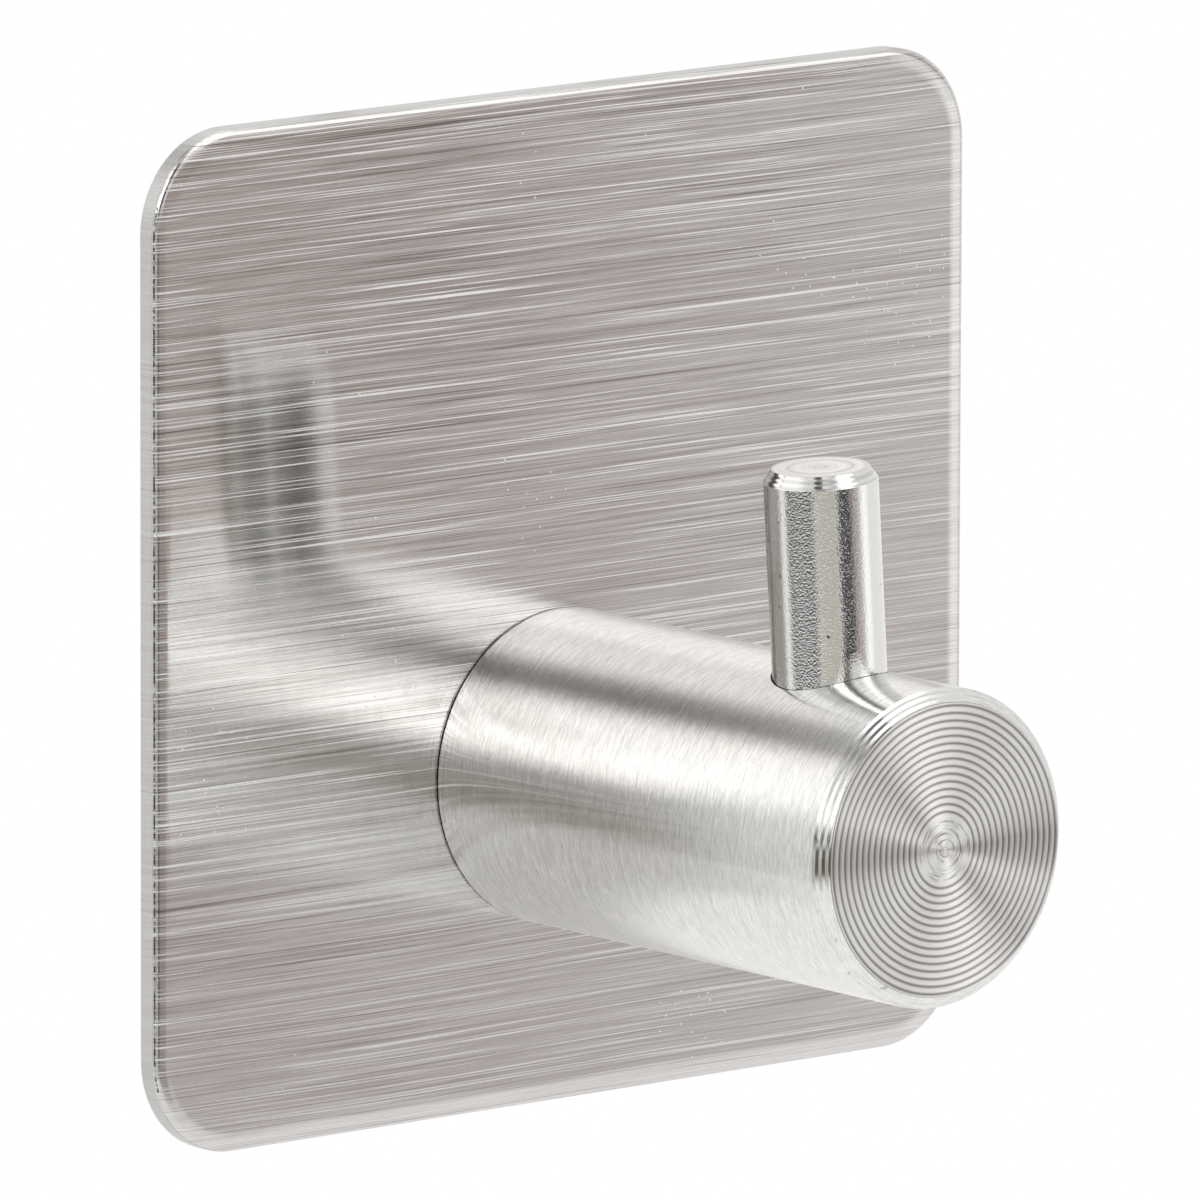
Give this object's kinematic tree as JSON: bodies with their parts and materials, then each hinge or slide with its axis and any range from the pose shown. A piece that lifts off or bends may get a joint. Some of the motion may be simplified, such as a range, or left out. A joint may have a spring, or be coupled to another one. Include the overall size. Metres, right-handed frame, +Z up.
{
  "type": "adhesive wall hook",
  "caption": "Stick-on steel wall hook: a round-cornered brushed plate carries a turned post with an upright pin near its end, for hanging towels, straps or keys.",
  "frame": {"origin": "centre of the release liner's outer face, which is the plane of the wall", "axes": "+Z up the wall, +X to the right seen from the front, +Y into the wall, so the post points along -Y"},
  "size_m": [0.046, 0.0281, 0.045],
  "materials": {
    "brushed_plate": "stainless sheet brushed from side to side",
    "turned_post": "stainless bar, brushed round its axis, with a faced end",
    "ground_pin": "stainless pin, ground bright",
    "plated_screw": "zinc plated steel",
    "foam_pad": "closed-cell acrylic foam, tacky",
    "liner_film": "satin polyethylene film"
  },
  "bodies": {
    "wall_plate": {"back_plate": "brushed_plate", "adhesive_pad": "foam_pad"},
    "hook": {"hook_post": "turned_post", "hook_pin": "ground_pin", "fixing_screw": "plated_screw"},
    "liner": {"release_liner": "liner_film"}
  },
  "joints": [
    {"name": "post_turn", "type": "hinge", "parent": "wall_plate", "child": "hook", "pos_m": [-0.0003, -0.0021, -0.0075], "axis": [0, -1, 0], "continuous": true},
    {"name": "liner_peel", "type": "slide", "parent": "wall_plate", "child": "liner", "axis": [0, 1, 0], "range_m": [0, 0.03]}
  ]
}
